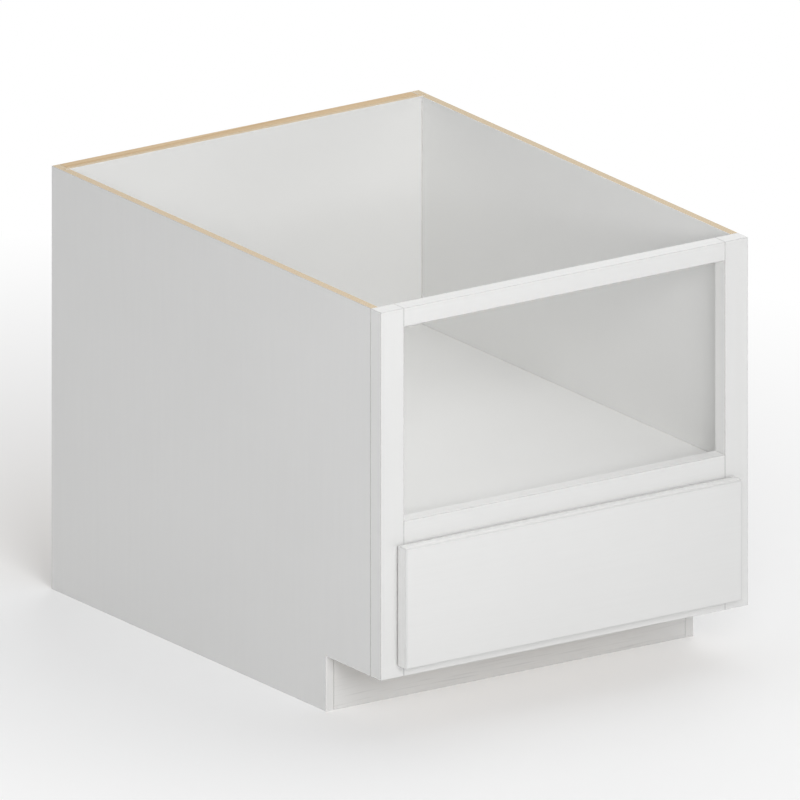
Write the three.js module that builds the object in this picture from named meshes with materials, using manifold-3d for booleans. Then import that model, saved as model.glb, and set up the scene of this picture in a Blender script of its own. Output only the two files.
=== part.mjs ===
// A framed kitchen base unit with an open bay for a microwave oven above one drawer.
// Millimetres, +Z up. The front faces -Y, and the origin lies on the floor under the middle.
// The drawer is a dovetailed box that runs on a pair of roller slides.

import * as THREE from "three";
import { mergeVertices } from "three/addons/utils/BufferGeometryUtils.js";
import Module from "manifold-3d";

const wasm = await Module();
wasm.setup();

// ---------------------------------------------------------------- driving dimensions

const seat = 0.25; // gap between two pieces that are fitted face to face

// cabinet
const cabinetWidth = 609.6;
const cabinetDepth = 609.6; // front of the face frame to the rear edge of the end panels
const cabinetHeight = 876.3;
const toeKickHeight = 114.3;
const toeKickSetback = 101.6; // front of the face frame to the front of the toe-kick board
const toeKickThickness = 12.7;

// face frame
const frameThickness = 19.05;
const stileWidth = 38.1;
const topRailWidth = 38.1;
const middleRailWidth = 58.7;
const bottomRailWidth = 38.1;
const microwaveOpeningHeight = 403.2;
const tenonThickness = 6.35;
const tenonLength = 12.7;
const tenonShoulder = 6.35; // from the rail's long edges to the tenon

// carcass
const endPanelThickness = 12.7;
const dadoDepth = 6.35; // grooves that hold the shelf, the bottom and the back
const backPanelThickness = 6.35;
const hangingRailThickness = 12.7;
const hangingRailWidth = 88.9;
const bottomPanelThickness = 12.7;
const bottomPanelDrop = 3.2; // its top lies this far below the bottom rail's top edge
const shelfThickness = 19.05;
const shelfTongueThickness = 9.5; // tongues at the shelf's ends, flush with its underside
const shelfDrop = 30; // its top lies this far below the middle rail's top edge

// drawer front
const drawerOverlay = 12.7; // the drawer front laps the frame by this much all round
const drawerFrontThickness = 15.9;
const drawerFrontRound = 2; // round on the drawer front's front edges
const bumperThickness = 1.6;
const bumperDiameter = 8;

// drawer box
const boxSideClearance = 12.7; // taken up by the slides on each side
const boxTopClearance = 28;
const boxBottomClearance = 16;
const boxRearClearance = 42; // box to back panel
const boxBoardThickness = 12.7;
const boxTopRound = 3;
const drawerBottomThickness = 6.35;
const drawerBottomRise = 12.7; // box's lower edge to the underside of the drawer bottom
const drawerGrooveDepth = 6.35;
const tailSpacing = 25.4; // wanted spacing of the dovetails
const pinWidth = 7; // width of a pin where it is narrowest
const tailSlope = 1 / 7;

// screws through the box front into the drawer front
const screwDiameter = 4.6;
const screwBite = 9; // depth in the drawer front
const screwHeadDiameter = 9.5;
const screwHeadHeight = 2.6;
const screwInset = 70; // from the box's sides to the screws
const screwRise = 38; // from the box's lower and upper edges to the screws

// roller slides
const steelThickness = 1.2;
const railInset = 2; // front of the face frame to the front end of the cabinet rail
const railRearClearance = 38; // rail's rear end to the back panel
const flangeGap = 2.5; // from the edge of a flange to the web it points at
const rollerDiameter = 21;
const rollerGroove = 0.6; // depth of the shallow groove round each roller
const runningGap = 0.3; // round a roller, and under the runner's flange
const hubGap = 0.5; // from a roller's inner side to its web
const headGap = 0.75; // from an axle's head to the web it points at
const axleDiameter = 5;
const axleHeadDiameter = 9;
const axleHeadHeight = 0.8;
const runnerRise = 17; // box's lower edge to the underside of the runner's outer flange
const runnerShelf = 11; // width of the lower flange under the drawer side
const tipGap = 1; // between the runner's outer flange and the rail's upper flange
const frontRollerInset = 26; // rail's front end to the front roller's axle
const rearRollerInset = 14; // runner's rear end to the rear roller's axle
const openRollerSpacing = 101; // front to rear axle when the drawer is pulled out to its stop
const stopHeight = 2; // raised stop in the rail's lower flange
const stopLength = 6;
const slideScrewDiameter = 4; // through the rail's web into the stile
const railSlotWidth = 4.5; // row of slots in the rail's web
const railSlotLength = 12;
const railSlotSpacing = 96;
const runnerScrewDiameter = 2.8; // through the runner's web into the drawer side
const runnerScrewInset = 50; // from both ends of the runner to its outer screws
const runnerScrewDrop = 3.9; // below the runner's outer flange

// rear sockets
const socketWall = 2.2;
const socketGap = 0.3; // between the rail and the socket's walls
const socketOverlap = 24; // length of rail inside the socket
const socketPlateThickness = 3;
const socketPlateRise = 34; // height of the screw plate above the socket
const socketPlateWidth = 24;
const socketHoleDiameter = 4.5;
const socketHoleInset = 9; // from the plate's upper edge and from the socket to its two holes

// ---------------------------------------------------------------- derived places

const halfWidth = cabinetWidth / 2;
const openingHalf = halfWidth - stileWidth;
const panelInner = halfWidth - endPanelThickness;
const frontStandoff = bumperThickness + 2 * seat + drawerFrontThickness;
const rearY = (cabinetDepth + frontStandoff) / 2;
const faceY = rearY - cabinetDepth; // front plane of the face frame
const frameRearY = faceY + frameThickness;
const carcassFrontY = frameRearY + seat;
const toeKickY = faceY + toeKickSetback;
const backPanelRearY = rearY - hangingRailThickness - seat;
const backPanelY = backPanelRearY - backPanelThickness;

const middleRailTop = cabinetHeight - topRailWidth - microwaveOpeningHeight;
const middleRailBottom = middleRailTop - middleRailWidth;
const bottomRailTop = toeKickHeight + bottomRailWidth;
const shelfTop = middleRailTop - shelfDrop;
const bottomPanelTop = bottomRailTop - bottomPanelDrop;
const bottomPanelBottom = bottomPanelTop - bottomPanelThickness;

const boxHalf = openingHalf - boxSideClearance;
const boxHeight = middleRailBottom - bottomRailTop - boxTopClearance - boxBottomClearance;
const boxBottomZ = bottomRailTop + boxBottomClearance;
const boxFrontY = faceY - bumperThickness - seat;
const boxRearY = backPanelY - boxRearClearance;
const screwLength = boxBoardThickness + 2 * seat + screwBite;

const webGap = boxSideClearance - 2 * (seat + steelThickness); // between rail's and runner's webs
const flangeWidth = webGap - flangeGap;
const rollerWidth = webGap - hubGap - seat - axleHeadHeight - headGap;
const rollerRadius = rollerDiameter / 2;
const axleZ = boxBottomZ + runnerRise - runningGap - rollerRadius;
const railWebOuter = openingHalf - seat;
const railWebInner = railWebOuter - steelThickness;
const railFloor = axleZ - rollerRadius - runningGap;
const railCeiling = boxBottomZ + runnerRise + steelThickness + tipGap;
const railFrontY = faceY + railInset;
const railRearY = backPanelY - railRearClearance;
const frontRollerY = railFrontY + frontRollerInset;
const runnerWebInner = boxHalf + seat;
const runnerWebOuter = runnerWebInner + steelThickness;
const rearRollerY = boxRearY - rearRollerInset;
const drawerTravel = rearRollerY - frontRollerY - openRollerSpacing;

// ---------------------------------------------------------------- materials

function material(color, roughness, metalness = 0) {
  return new THREE.MeshStandardMaterial({ color, roughness, metalness });
}

const finishes = {
  paint: () => material(0xf4f3ef, 0.42),
  laminate: () => material(0xf1efe9, 0.5),
  nailer: () => material(0xcfae7c, 0.75),
  maple: () => material(0xe2c79c, 0.5),
  steel: () => material(0xe9e9e6, 0.35, 0.1),
  rivet: () => material(0xb9bcc0, 0.3, 1),
  nylon: () => material(0xf0efe8, 0.45),
  socket: () => material(0xd9d7cf, 0.6),
  rubber: () => material(0xdedcd4, 0.7),
};

// ---------------------------------------------------------------- solids

// Turns a closed three.js geometry into a solid that can be joined and cut.
function solidOf(geometry) {
  const plain = geometry.clone();
  plain.deleteAttribute("normal");
  plain.deleteAttribute("uv");
  const merged = mergeVertices(plain, 1e-4);
  const source = new wasm.Mesh({
    numProp: 3,
    vertProperties: merged.attributes.position.array,
    triVerts: new Uint32Array(merged.index.array),
  });
  return new wasm.Manifold(source);
}

// A block between pairs of coordinates, given in either order.
function block(xs, ys, zs) {
  const low = [xs, ys, zs].map((pair) => Math.min(...pair));
  const high = [xs, ys, zs].map((pair) => Math.max(...pair));
  const size = high.map((value, axis) => value - low[axis]);
  const geometry = new THREE.BoxGeometry(...size);
  geometry.translate(...high.map((value, axis) => (value + low[axis]) / 2));
  return solidOf(geometry);
}

function outlineOf(points) {
  return new THREE.Shape(points.map(([u, v]) => new THREE.Vector2(u, v)));
}

// Extrudes an outline drawn in (y, z) along X.
function extrudeX(shape, xs, options = {}) {
  const start = Math.min(...xs);
  const depth = Math.max(...xs) - start;
  const geometry = new THREE.ExtrudeGeometry(shape, { depth, bevelEnabled: false, ...options });
  const axes = new THREE.Matrix4();
  axes.makeBasis(new THREE.Vector3(0, 1, 0), new THREE.Vector3(0, 0, 1), new THREE.Vector3(1, 0, 0));
  geometry.applyMatrix4(axes);
  geometry.translate(start, 0, 0);
  return solidOf(geometry);
}

// Extrudes an outline drawn in (x, z) along Y.
function extrudeY(shape, ys, options = {}) {
  const end = Math.max(...ys);
  const depth = end - Math.min(...ys);
  const geometry = new THREE.ExtrudeGeometry(shape, { depth, bevelEnabled: false, ...options });
  geometry.rotateX(Math.PI / 2);
  geometry.translate(0, end, 0);
  return solidOf(geometry);
}

// Revolves a closed profile of (radius, distance) points about an axis along X or Y.
function revolve(profile, axis, segments = 24) {
  const points = profile.map(([radius, along]) => new THREE.Vector2(radius, along));
  const geometry = new THREE.LatheGeometry(points, segments);
  if (axis === "x") geometry.rotateZ(-Math.PI / 2);
  return geometry;
}

function rod(diameter, [from, to], axis, segments = 24) {
  const radius = diameter / 2;
  return revolve([[0, from], [radius, from], [radius, to], [0, to]], axis, segments);
}

// A rectangle with its two upper corners rounded.
function roundedTop(left, right, bottom, top, radius) {
  const shape = new THREE.Shape();
  shape.moveTo(left, bottom);
  shape.lineTo(right, bottom);
  shape.lineTo(right, top - radius);
  shape.absarc(right - radius, top - radius, radius, 0, Math.PI / 2);
  shape.lineTo(left + radius, top);
  shape.absarc(left + radius, top - radius, radius, Math.PI / 2, Math.PI);
  shape.closePath();
  return shape;
}

function piece(name, solid, finish) {
  const cut = solid.getMesh();
  const geometry = new THREE.BufferGeometry();
  geometry.setAttribute("position", new THREE.BufferAttribute(cut.vertProperties, 3));
  geometry.setIndex(new THREE.BufferAttribute(cut.triVerts, 1));
  geometry.computeVertexNormals();
  const mesh = new THREE.Mesh(geometry, finishes[finish]());
  mesh.name = name;
  return mesh;
}

const sides = [
  { side: "left", out: -1 },
  { side: "right", out: 1 },
];

// ---------------------------------------------------------------- face frame

const frameYs = [faceY, frameRearY];
const tenonYs = [-tenonThickness / 2, tenonThickness / 2].map((half) => (faceY + frameRearY) / 2 + half);

const rails = [
  { name: "top_rail", bottom: cabinetHeight - topRailWidth, top: cabinetHeight },
  { name: "middle_rail", bottom: middleRailBottom, top: middleRailTop },
  { name: "bottom_rail", bottom: toeKickHeight, top: bottomRailTop },
];

// The tenon at one end of a rail. A positive allowance makes the mortise that takes it.
function tenon({ bottom, top }, out, allowance) {
  const shoulder = openingHalf - seat;
  return block(
    [out * (shoulder - 1), out * (openingHalf + tenonLength - seat + allowance)],
    [tenonYs[0] - allowance, tenonYs[1] + allowance],
    [bottom + tenonShoulder - allowance, top - tenonShoulder + allowance],
  );
}

function rail(row) {
  const shoulder = openingHalf - seat;
  const board = block([-shoulder, shoulder], frameYs, [row.bottom, row.top]);
  const tenoned = sides.reduce((solid, { out }) => solid.add(tenon(row, out, 0)), board);
  return piece(row.name, tenoned, "paint");
}

function stile({ side, out }) {
  const board = block([out * openingHalf, out * halfWidth], frameYs, [toeKickHeight, cabinetHeight]);
  const mortised = rails.reduce((solid, row) => solid.subtract(tenon(row, out, seat)), board);
  return piece(`${side}_stile`, mortised, "paint");
}

function faceFrame() {
  const group = new THREE.Group();
  group.add(...sides.map(stile), ...rails.map(rail));
  return group;
}

// ---------------------------------------------------------------- carcass

const dadoed = panelInner + dadoDepth - seat; // half width of what sits in the grooves
const shelfYs = [carcassFrontY, backPanelY - seat]; // of the bottom panel too
const shelfZs = [shelfTop - shelfThickness, shelfTop];
const shelfTongueZs = [shelfZs[0], shelfZs[0] + shelfTongueThickness];
const bottomPanelZs = [bottomPanelBottom, bottomPanelTop];
const backPanelZs = [bottomPanelBottom, cabinetHeight];

function grown([low, high], allowance) {
  return [low - allowance, high + allowance];
}

// The groove that an end panel holds for a board of the given section.
function dado(out, ys, zs) {
  return block([out * (panelInner - 1), out * (panelInner + dadoDepth)], ys, zs);
}

// An end panel's outline has the toe-kick notch at its lower front corner.
function endPanel({ side, out }) {
  const outline = outlineOf([
    [toeKickY, 0],
    [rearY, 0],
    [rearY, cabinetHeight],
    [carcassFrontY, cabinetHeight],
    [carcassFrontY, toeKickHeight],
    [toeKickY, toeKickHeight],
  ]);
  const backYs = grown([backPanelY, backPanelRearY], seat);
  const grooved = extrudeX(outline, [out * panelInner, out * halfWidth])
    .subtract(dado(out, [carcassFrontY - 1, shelfYs[1] + seat], grown(shelfTongueZs, seat)))
    .subtract(dado(out, [carcassFrontY - 1, shelfYs[1] + seat], grown(bottomPanelZs, seat)))
    .subtract(dado(out, backYs, [backPanelZs[0] - seat, cabinetHeight + 1]));
  return piece(`${side}_end_panel`, grooved, "paint");
}

// The shelf's top lies wholly between the end panels: only its tongues enter their grooves.
function shelf() {
  const half = panelInner - seat;
  const board = block([-half, half], shelfYs, shelfZs);
  return piece("microwave_shelf", board.add(block([-dadoed, dadoed], shelfYs, shelfTongueZs)), "laminate");
}

function hangingRail(name, bottom) {
  const half = panelInner - seat;
  const ys = [rearY - hangingRailThickness, rearY];
  return piece(name, block([-half, half], ys, [bottom, bottom + hangingRailWidth]), "nailer");
}

function carcass() {
  const group = new THREE.Group();
  const toeKickHalf = panelInner - seat;
  const toeKickYs = [toeKickY, toeKickY + toeKickThickness];
  const toeKickZs = [0, bottomPanelBottom - seat];
  group.add(
    ...sides.map(endPanel),
    piece("back_panel", block([-dadoed, dadoed], [backPanelY, backPanelRearY], backPanelZs), "laminate"),
    piece("bottom_panel", block([-dadoed, dadoed], shelfYs, bottomPanelZs), "laminate"),
    shelf(),
    piece("toe_kick_board", block([-toeKickHalf, toeKickHalf], toeKickYs, toeKickZs), "paint"),
    hangingRail("upper_hanging_rail", cabinetHeight - hangingRailWidth),
    hangingRail("lower_hanging_rail", bottomPanelBottom),
  );
  return group;
}

// ---------------------------------------------------------------- slides, cabinet half

// A round hole through the web of a rail or runner, whose middle lies at x.
function webHole(diameter, x, y, z) {
  return solidOf(rod(diameter, [-steelThickness, steelThickness], "x")).translate([x, y, z]);
}

// The row of slots between a rail's front roller and its rear socket.
function railSlots(x) {
  const slotsEnd = railRearY - socketOverlap;
  const count = Math.floor((slotsEnd - frontRollerY) / railSlotSpacing);
  const radius = railSlotWidth / 2;
  const reach = railSlotLength / 2 - radius;
  return Array.from({ length: count }, (_, index) => {
    const y = frontRollerY + (index + 1) * railSlotSpacing;
    const shape = new THREE.Shape();
    shape.moveTo(y - reach, axleZ - radius);
    shape.absarc(y + reach, axleZ, radius, -Math.PI / 2, Math.PI / 2);
    shape.absarc(y - reach, axleZ, radius, Math.PI / 2, (3 * Math.PI) / 2);
    return extrudeX(shape, [x - steelThickness, x + steelThickness], { curveSegments: 6 });
  });
}

// A C channel with a stop pressed up in its lower flange, where the rear roller ends its run.
function cabinetRail({ side, out }) {
  const lip = railWebInner - flangeWidth;
  const profile = outlineOf([
    [out * railWebOuter, railFloor - steelThickness],
    [out * railWebOuter, railCeiling + steelThickness],
    [out * lip, railCeiling + steelThickness],
    [out * lip, railCeiling],
    [out * railWebInner, railCeiling],
    [out * railWebInner, railFloor],
    [out * lip, railFloor],
    [out * lip, railFloor - steelThickness],
  ]);
  const roundBelowStop = rollerRadius + runningGap - stopHeight;
  const reach = Math.sqrt(rollerRadius ** 2 - roundBelowStop ** 2);
  const stopRear = rearRollerY - drawerTravel - reach - seat;
  const stop = block(
    [out * railWebInner, out * lip],
    [stopRear - stopLength, stopRear],
    [railFloor - steelThickness / 2, railFloor + stopHeight],
  );
  const webX = out * (railWebOuter - steelThickness / 2);
  const cuts = [
    webHole(axleDiameter + 2 * seat, webX, frontRollerY, axleZ),
    webHole(slideScrewDiameter + 2 * seat, webX, (faceY + frameRearY) / 2, axleZ),
    ...railSlots(webX),
  ];
  const channel = extrudeY(profile, [railFrontY, railRearY]).add(stop);
  return piece(`${side}_cabinet_rail`, cuts.reduce((solid, cut) => solid.subtract(cut), channel), "steel");
}

// A plastic socket on the back panel that takes the rail's rear end, open towards the drawer.
function rearSocket({ side, out }) {
  const outer = railWebOuter + socketGap + socketWall;
  const floor = railFloor - steelThickness - socketGap;
  const ceiling = railCeiling + steelThickness + socketGap;
  const lip = railWebInner - flangeWidth;
  const ys = [railRearY - socketOverlap, backPanelY - seat];
  const top = ceiling + socketWall;
  const shell = block([out * lip, out * outer], ys, [floor - socketWall, top]);
  const bore = block([out * (lip - 1), out * (outer - socketWall)], grown(ys, 1), [floor, ceiling]);
  const plate = block(
    [out * (outer - socketPlateWidth), out * outer],
    [ys[1] - socketPlateThickness, ys[1]],
    [floor - socketWall, top + socketPlateRise],
  );
  const holes = [top + socketHoleInset, top + socketPlateRise - socketHoleInset].map((z) => {
    const hole = solidOf(rod(socketHoleDiameter, grown([ys[1] - socketPlateThickness, ys[1]], 1), "y"));
    return hole.translate([out * (outer - socketPlateWidth / 2), 0, z]);
  });
  const solid = holes.reduce((whole, hole) => whole.subtract(hole), shell.subtract(bore).add(plate));
  return piece(`${side}_rear_socket`, solid, "socket");
}

// A nylon roller with a shallow groove round it, its axis along X and its middle at the origin.
function rollerSolid() {
  const half = rollerWidth / 2;
  const bore = axleDiameter / 2 + runningGap;
  const bevel = rollerWidth / 8;
  return solidOf(revolve([
    [bore, -half],
    [rollerRadius - bevel, -half],
    [rollerRadius, bevel - half],
    [rollerRadius, -bevel],
    [rollerRadius - rollerGroove, 0],
    [rollerRadius, bevel],
    [rollerRadius, half - bevel],
    [rollerRadius - bevel, half],
    [bore, half],
    [bore, -half],
  ], "x"));
}

// A flush rivet: its shank starts in the steel at x = 0 and its head keeps the roller on.
function axleSolid() {
  const shank = axleDiameter / 2;
  const head = axleHeadDiameter / 2;
  const start = -steelThickness;
  const headStart = hubGap + rollerWidth + seat;
  return solidOf(revolve([
    [0, start],
    [shank, start],
    [shank, headStart],
    [head, headStart],
    [head, headStart + axleHeadHeight / 2],
    [head - axleHeadHeight / 2, headStart + axleHeadHeight],
    [0, headStart + axleHeadHeight],
  ], "x"));
}

// Roller and axle on one web. They stand off the web's face at webX, towards the given way.
function rollerPair(name, webX, towards, y) {
  const rollerMesh = piece(`${name}_roller`, rollerSolid(), "nylon");
  rollerMesh.position.set(webX + towards * (hubGap + rollerWidth / 2), y, axleZ);
  const axleMesh = piece(`${name}_axle`, axleSolid(), "rivet");
  axleMesh.position.set(webX, y, axleZ);
  if (towards < 0) axleMesh.rotation.z = Math.PI;
  return [rollerMesh, axleMesh];
}

function cabinetSlides() {
  const group = new THREE.Group();
  for (const row of sides) {
    const front = rollerPair(`${row.side}_front`, row.out * railWebInner, -row.out, frontRollerY);
    group.add(cabinetRail(row), rearSocket(row), ...front);
  }
  return group;
}

// ---------------------------------------------------------------- drawer

const boxZs = [boxBottomZ, boxBottomZ + boxHeight];
const tailCount = Math.max(2, Math.round(boxHeight / tailSpacing));
const drawerScrewLevels = [
  { level: "lower", z: boxZs[0] + screwRise },
  { level: "upper", z: boxZs[1] - screwRise },
];
const drawerScrews = sides.flatMap(({ side, out }) => drawerScrewLevels.map(({ level, z }) => {
  return { name: `drawer_front_screw_${side}_${level}`, x: out * (boxHalf - screwInset), z };
}));

// The tails at one end of a box side, as outlines in (y, z) that flare towards the end face.
function tails(endY, inwards, allowance) {
  const spacing = boxHeight / tailCount;
  const endHalf = (spacing - pinWidth) / 2 + allowance;
  const baseHalf = endHalf - boxBoardThickness * tailSlope;
  const overrun = allowance > 0 ? 1 : 0;
  const slack = overrun * tailSlope;
  const outerY = endY - inwards * overrun;
  const baseY = endY + inwards * boxBoardThickness;
  const rootY = baseY + inwards * 2 * seat; // reaches past the shoulder into the board
  return Array.from({ length: tailCount }, (_, row) => {
    const middle = boxZs[0] + (row + 0.5) * spacing;
    return outlineOf([
      [outerY, middle - endHalf - slack],
      [baseY, middle - baseHalf],
      [rootY, middle - baseHalf],
      [rootY, middle + baseHalf],
      [baseY, middle + baseHalf],
      [outerY, middle + endHalf + slack],
    ]);
  });
}

const boxEnds = [
  { name: "drawer_box_front", y: boxFrontY, inwards: 1 },
  { name: "drawer_box_back", y: boxRearY, inwards: -1 },
];

function drawerBottom(allowance) {
  const half = boxHalf - boxBoardThickness + drawerGrooveDepth - seat + allowance;
  const inset = boxBoardThickness - drawerGrooveDepth + seat - allowance;
  const bottom = boxBottomZ + drawerBottomRise;
  return block(
    [-half, half],
    [boxFrontY + inset, boxRearY - inset],
    grown([bottom, bottom + drawerBottomThickness], allowance),
  );
}

// A box side is its body between the box's front and back, with tails on both ends.
function boxSide({ side, out }) {
  const xs = [out * (boxHalf - boxBoardThickness), out * boxHalf];
  const shoulder = boxBoardThickness + seat;
  const body = block(xs, [boxFrontY + shoulder, boxRearY - shoulder], boxZs);
  const ends = boxEnds.flatMap(({ y, inwards }) => tails(y, inwards, 0));
  const tailed = ends.reduce((solid, tail) => solid.add(extrudeX(tail, xs)), body);
  const section = roundedTop(Math.min(...xs), Math.max(...xs), ...boxZs, boxTopRound);
  const rounded = tailed.intersect(extrudeY(section, [boxFrontY, boxRearY], { curveSegments: 4 }));
  return piece(`drawer_box_${side}`, rounded.subtract(drawerBottom(seat)), "maple");
}

// The box's front and back carry the pins, which are what the tails leave of the board's ends.
function boxEnd({ name, y, inwards }) {
  const innerY = y + inwards * boxBoardThickness;
  const section = roundedTop(Math.min(y, innerY), Math.max(y, innerY), ...boxZs, boxTopRound);
  let solid = extrudeX(section, [-boxHalf, boxHalf], { curveSegments: 4 });
  for (const { out } of sides) {
    const xs = [out * (boxHalf - boxBoardThickness - seat), out * (boxHalf + 1)];
    for (const tail of tails(y, inwards, seat)) solid = solid.subtract(extrudeX(tail, xs));
  }
  solid = solid.subtract(drawerBottom(seat));
  if (inwards > 0) {
    for (const { x, z } of drawerScrews) {
      const hole = solidOf(rod(screwDiameter + 2 * seat, grown([y, innerY], 1), "y"));
      solid = solid.subtract(hole.translate([x, 0, z]));
    }
  }
  return piece(name, solid, "maple");
}

// The slab front: rounded front edges from an extrusion's bevel, whose rear half is cut off.
function drawerFront() {
  const half = openingHalf + drawerOverlay;
  const round = drawerFrontRound;
  const rear = boxFrontY - seat;
  const front = rear - drawerFrontThickness;
  const low = bottomRailTop - drawerOverlay;
  const high = middleRailBottom + drawerOverlay;
  const outline = outlineOf([
    [-half + round, low + round],
    [half - round, low + round],
    [half - round, high - round],
    [-half + round, high - round],
  ]);
  const bevel = { bevelEnabled: true, bevelSize: round, bevelThickness: round, bevelSegments: 4 };
  const slab = extrudeY(outline, [front + round, rear + round], bevel);
  let solid = slab.subtract(block([-half - 1, half + 1], [rear, rear + 4 * round], [low - 1, high + 1]));
  const holeEnd = boxFrontY + boxBoardThickness + seat - screwLength - seat;
  for (const { x, z } of drawerScrews) {
    const hole = solidOf(rod(screwDiameter + 2 * seat, [holeEnd, rear + 1], "y"));
    solid = solid.subtract(hole.translate([x, 0, z]));
  }
  return piece("drawer_front", solid, "paint");
}

// A pan-head screw along Y, its head's underside at the origin and its point towards -Y.
function screw({ name, x, z }) {
  const shank = screwDiameter / 2;
  const head = screwHeadDiameter / 2;
  const solid = solidOf(revolve([
    [0, -screwLength],
    [shank, -screwLength + 2 * shank],
    [shank, 0],
    [head, 0],
    [head, screwHeadHeight / 2],
    [head * 0.7, screwHeadHeight],
    [0, screwHeadHeight],
  ], "y", 20));
  const mesh = piece(name, solid, "rivet");
  mesh.position.set(x, boxFrontY + boxBoardThickness + seat, z);
  return mesh;
}

function bumpers() {
  const inset = drawerOverlay / 2;
  const levels = [
    { level: "lower", z: bottomRailTop + drawerOverlay },
    { level: "upper", z: middleRailBottom - drawerOverlay },
  ];
  const disc = solidOf(rod(bumperDiameter, [0, bumperThickness], "y"));
  return sides.flatMap(({ side, out }) => levels.map(({ level, z }) => {
    const mesh = piece(`bumper_${side}_${level}`, disc, "rubber");
    mesh.position.set(out * (openingHalf + inset), boxFrontY, z);
    return mesh;
  }));
}

// A folded runner under and beside a box side, with a flange that rides on the front roller.
function drawerRunner({ side, out }) {
  const under = boxBottomZ - seat;
  const flangeZ = boxBottomZ + runnerRise;
  const flangeEnd = runnerWebOuter + flangeWidth;
  const profile = outlineOf([
    [out * (runnerWebInner - runnerShelf), under - steelThickness],
    [out * runnerWebOuter, under - steelThickness],
    [out * runnerWebOuter, flangeZ],
    [out * flangeEnd, flangeZ],
    [out * flangeEnd, flangeZ + steelThickness],
    [out * runnerWebInner, flangeZ + steelThickness],
    [out * runnerWebInner, under],
    [out * (runnerWebInner - runnerShelf), under],
  ]);
  const webX = out * (runnerWebOuter - steelThickness / 2);
  const screwYs = [boxFrontY + runnerScrewInset, (boxFrontY + boxRearY) / 2, boxRearY - runnerScrewInset];
  const cuts = [
    webHole(axleDiameter + 2 * seat, webX, rearRollerY, axleZ),
    ...screwYs.map((y) => webHole(runnerScrewDiameter + 2 * seat, webX, y, flangeZ - runnerScrewDrop)),
  ];
  const folded = extrudeY(profile, [boxFrontY, boxRearY]);
  return piece(`${side}_drawer_runner`, cuts.reduce((solid, cut) => solid.subtract(cut), folded), "steel");
}

function drawer() {
  const group = new THREE.Group();
  const base = piece("drawer_bottom", drawerBottom(0), "maple");
  group.add(drawerFront(), ...boxEnds.map(boxEnd), ...sides.map(boxSide), base);
  for (const row of sides) {
    const rear = rollerPair(`${row.side}_rear`, row.out * runnerWebOuter, row.out, rearRollerY);
    group.add(drawerRunner(row), ...rear);
  }
  group.add(...drawerScrews.map(screw), ...bumpers());
  return group;
}

// ---------------------------------------------------------------- the cabinet

const cabinet = new THREE.Group();
cabinet.add(faceFrame(), carcass(), cabinetSlides(), drawer());

export default cabinet;
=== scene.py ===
"""A framed kitchen base unit with an open microwave bay above one drawer, finished for a studio picture.

Lengths are metres. The front faces -Y, +Z is up, and the floor is at z = 0.
The solids of the boards, the folded steel, the sockets and the axles stay: this file eases their
edges and gives each its finish. It makes the drawer front, its screws and bumpers and the rollers
anew in the places of their solids, adds the small fastenings, and sets up the studio.
"""

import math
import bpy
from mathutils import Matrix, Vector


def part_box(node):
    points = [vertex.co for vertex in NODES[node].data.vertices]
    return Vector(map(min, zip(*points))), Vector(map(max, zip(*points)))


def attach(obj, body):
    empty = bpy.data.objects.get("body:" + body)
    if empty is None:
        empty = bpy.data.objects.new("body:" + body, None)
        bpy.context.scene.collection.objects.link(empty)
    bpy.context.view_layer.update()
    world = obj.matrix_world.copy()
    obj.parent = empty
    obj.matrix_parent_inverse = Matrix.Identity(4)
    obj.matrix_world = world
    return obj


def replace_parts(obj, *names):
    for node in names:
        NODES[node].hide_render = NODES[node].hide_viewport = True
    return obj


bl_info = {
    "name": "Microwave base cabinet",
    "version": (1, 0, 0),
    "blender": (4, 5, 0),
    "location": "View3D > Sidebar > Cabinet",
    "description": "Finishes, fastenings and studio of a base cabinet with a microwave bay and one drawer",
    "category": "Object",
}

from functools import partial

import bmesh
import bpy
from mathutils import Matrix, Vector

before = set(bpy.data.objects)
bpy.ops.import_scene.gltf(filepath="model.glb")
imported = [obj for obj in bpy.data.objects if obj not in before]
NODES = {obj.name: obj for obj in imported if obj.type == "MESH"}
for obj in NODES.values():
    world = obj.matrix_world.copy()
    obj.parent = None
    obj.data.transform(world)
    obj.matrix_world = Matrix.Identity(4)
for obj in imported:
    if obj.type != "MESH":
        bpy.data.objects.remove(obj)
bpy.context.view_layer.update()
SIDES = (("left", -1), ("right", 1))
CORNERS = [f"{side}_{level}" for side, _ in SIDES for level in ("lower", "upper")]
AXES = {"x": 0, "y": 1, "z": 2}
SQUARE = ((-1, -1), (1, -1), (1, 1), (-1, 1))

# Sizes that the solids are made with, for pieces that follow their walls.
STEEL = 0.0012
GLUE_GAP = 0.00025
SOCKET_PLATE = 0.003
SOCKET_PLATE_RISE = 0.034
SOCKET_PLATE_WIDTH = 0.024
SOCKET_HOLE_INSET = 0.009
SCREW_HEAD_HEIGHT = 0.0026

# The screws: height of the head, radius and reach of the shank, and depth of the cross recess.
PAN_SCREW = {"height": SCREW_HEAD_HEIGHT, "shank": 0.0023, "reach": 0.020, "recess": 0.0017}
TRUSS_SCREW = {"height": 0.0019, "shank": 0.0018, "reach": 0.014, "recess": 0.0012}
WAFER_SCREW = {"height": 0.0006, "shank": 0.0014, "reach": 0.010, "recess": 0.00045}

# The lacquer's tone where painted shade darkens it along edges and joints, and how deep a plywood board's
# faces reach round its edges.
PAINTED_SHADE_TONE = 0.6
FACE_SKIN = 0.0005

# Each lamp's place, the point that it is aimed at, and its diameter.
LAMPS = {
    "key": ((-1.6, -3.4, 3.0), (0.0, -0.2, 0.45), 2.6),
    "fill": ((-3.6, -0.4, 1.6), (0.0, 0.0, 0.45), 2.4),
    "top": ((0.9, 0.2, 3.4), (0.0, 0.0, 0.4), 2.2),
    "rear": ((2.9, 2.4, 1.8), (0.2, 0.2, 0.45), 2.4),
}
WHITE = (1.0, 1.0, 1.0)
SKY_TINT = (0.985, 0.99, 1.0)

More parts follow.
